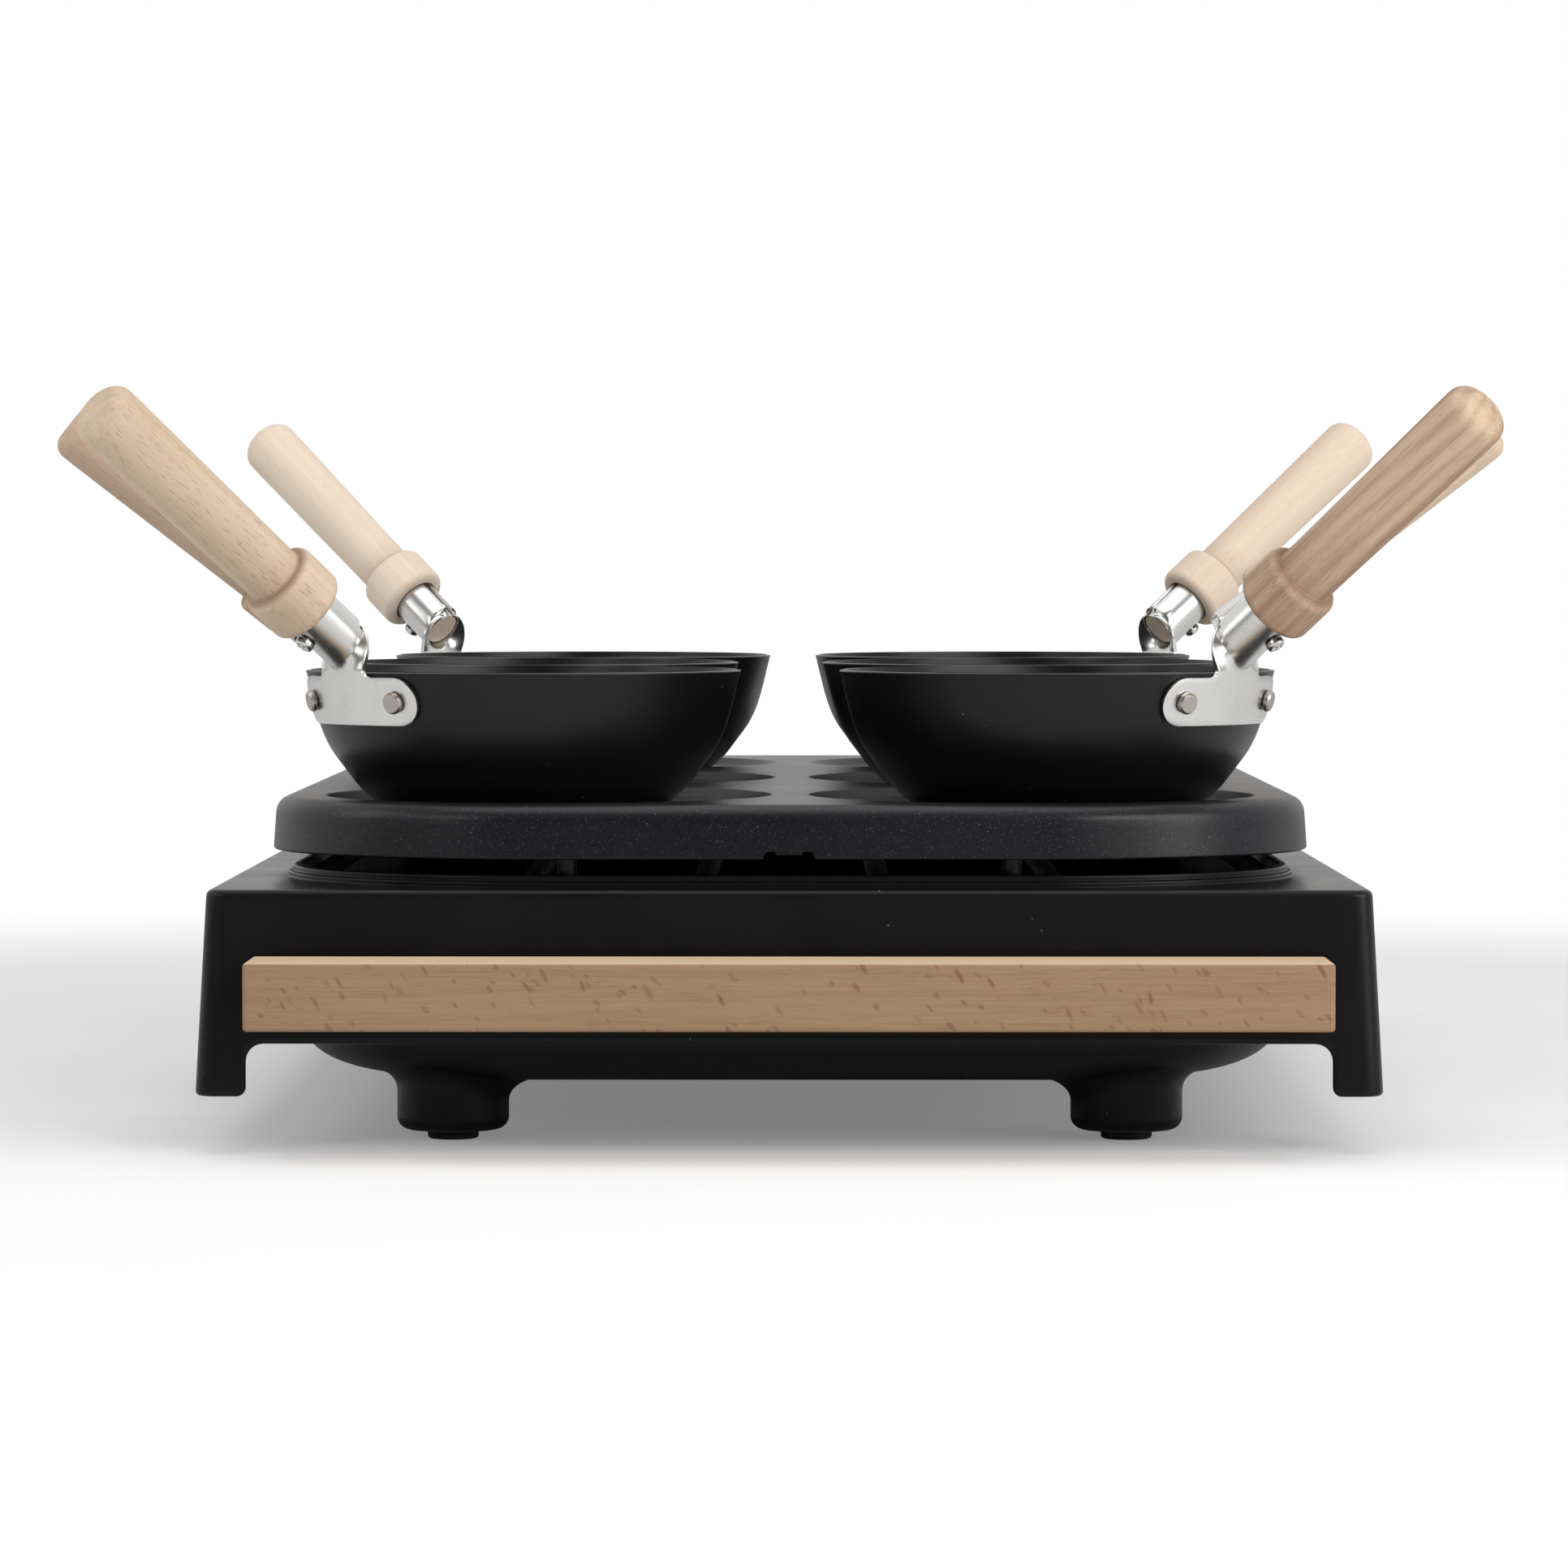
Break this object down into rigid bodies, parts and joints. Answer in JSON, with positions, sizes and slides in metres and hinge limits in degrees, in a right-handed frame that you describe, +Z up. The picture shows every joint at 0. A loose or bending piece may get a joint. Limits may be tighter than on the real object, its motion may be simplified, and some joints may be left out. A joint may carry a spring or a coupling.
{
  "type": "party grill",
  "caption": "Tabletop electric grill: cast plate with shallow round moulds on a flared housing with wood end bars, holding small black woks with turned wood handles that lift off.",
  "frame": {"origin": "middle of the bounding box at the underside of the foot pads", "axes": "+Z up, -Y the front end with the front wood bar, +X the right side with the power inlet and switch"},
  "size_m": [0.4185, 0.4726, 0.1983],
  "materials": {
    "housing_plastic": "black satin moulding",
    "tub_plastic": "black matt moulding",
    "pad_rubber": "black matt rubber",
    "bar_beech": "oiled beech",
    "handle_beech": "pale untreated beech",
    "griddle_cast": "dark non-stick coating with fine metallic flecks",
    "wok_coated": "black satin outside, glossier non-stick inside",
    "polished_steel": "polished stainless steel",
    "tray_enamel": "dark enamelled sheet steel",
    "element_sheath": "dark heat-tinted sheath",
    "ceramic": "off-white ceramic",
    "fitting_plastic": "black satin moulding",
    "rocker_plastic": "black matt moulding",
    "lens_red": "red clear plastic"
  },
  "bodies": {
    "base": {"housing": "housing_plastic", "bottom_tub": "tub_plastic", "foot_pad_front_left": "pad_rubber", "foot_pad_front_right": "pad_rubber", "foot_pad_rear_left": "pad_rubber", "foot_pad_rear_right": "pad_rubber", "tub_screw_front_left": "polished_steel", "tub_screw_front_right": "polished_steel", "tub_screw_rear_left": "polished_steel", "tub_screw_rear_right": "polished_steel", "front_wood_bar": "bar_beech", "rear_wood_bar": "bar_beech", "reflector_tray": "tray_enamel", "heating_element": "element_sheath", "element_support_front": "tray_enamel", "element_support_rear": "tray_enamel", "terminal_block": "ceramic", "thermal_cutout": "element_sheath", "power_inlet": "fitting_plastic", "switch_body": "fitting_plastic", "indicator_lens": "lens_red"},
    "rocker": {"switch_rocker": "rocker_plastic"},
    "griddle": {"griddle_plate": "griddle_cast"},
    "front_left_wok": {"front_left_wok_pan": "wok_coated", "front_left_wok_bracket": "polished_steel", "front_left_wok_handle": "handle_beech", "front_left_wok_rivet_a": "polished_steel", "front_left_wok_rivet_b": "polished_steel", "front_left_wok_screw": "polished_steel"},
    "front_right_wok": {"front_right_wok_pan": "wok_coated", "front_right_wok_bracket": "polished_steel", "front_right_wok_handle": "handle_beech", "front_right_wok_rivet_a": "polished_steel", "front_right_wok_rivet_b": "polished_steel", "front_right_wok_screw": "polished_steel"},
    "middle_left_wok": {"middle_left_wok_pan": "wok_coated", "middle_left_wok_bracket": "polished_steel", "middle_left_wok_handle": "handle_beech", "middle_left_wok_rivet_a": "polished_steel", "middle_left_wok_rivet_b": "polished_steel", "middle_left_wok_screw": "polished_steel"},
    "middle_right_wok": {"middle_right_wok_pan": "wok_coated", "middle_right_wok_bracket": "polished_steel", "middle_right_wok_handle": "handle_beech", "middle_right_wok_rivet_a": "polished_steel", "middle_right_wok_rivet_b": "polished_steel", "middle_right_wok_screw": "polished_steel"},
    "rear_left_wok": {"rear_left_wok_pan": "wok_coated", "rear_left_wok_bracket": "polished_steel", "rear_left_wok_handle": "handle_beech", "rear_left_wok_rivet_a": "polished_steel", "rear_left_wok_rivet_b": "polished_steel", "rear_left_wok_screw": "polished_steel"},
    "rear_right_wok": {"rear_right_wok_pan": "wok_coated", "rear_right_wok_bracket": "polished_steel", "rear_right_wok_handle": "handle_beech", "rear_right_wok_rivet_a": "polished_steel", "rear_right_wok_rivet_b": "polished_steel", "rear_right_wok_screw": "polished_steel"}
  },
  "joints": [
    {"name": "griddle_lift", "type": "slide", "parent": "base", "child": "griddle", "axis": [0, 0, 1], "range_m": [0, 0.1]},
    {"name": "switch_rock", "type": "hinge", "parent": "base", "child": "rocker", "pos_m": [0.15117, 0.062, 0.04314], "axis": [0, 1, 0], "range_deg": [-14, 0]},
    {"name": "front_left_wok_lift", "type": "slide", "parent": "griddle", "child": "front_left_wok", "axis": [0, 0, 1], "range_m": [0, 0.12]},
    {"name": "front_right_wok_lift", "type": "slide", "parent": "griddle", "child": "front_right_wok", "axis": [0, 0, 1], "range_m": [0, 0.12]},
    {"name": "middle_left_wok_lift", "type": "slide", "parent": "griddle", "child": "middle_left_wok", "axis": [0, 0, 1], "range_m": [0, 0.12]},
    {"name": "middle_right_wok_lift", "type": "slide", "parent": "griddle", "child": "middle_right_wok", "axis": [0, 0, 1], "range_m": [0, 0.12]},
    {"name": "rear_left_wok_lift", "type": "slide", "parent": "griddle", "child": "rear_left_wok", "axis": [0, 0, 1], "range_m": [0, 0.12]},
    {"name": "rear_right_wok_lift", "type": "slide", "parent": "griddle", "child": "rear_right_wok", "axis": [0, 0, 1], "range_m": [0, 0.12]}
  ]
}
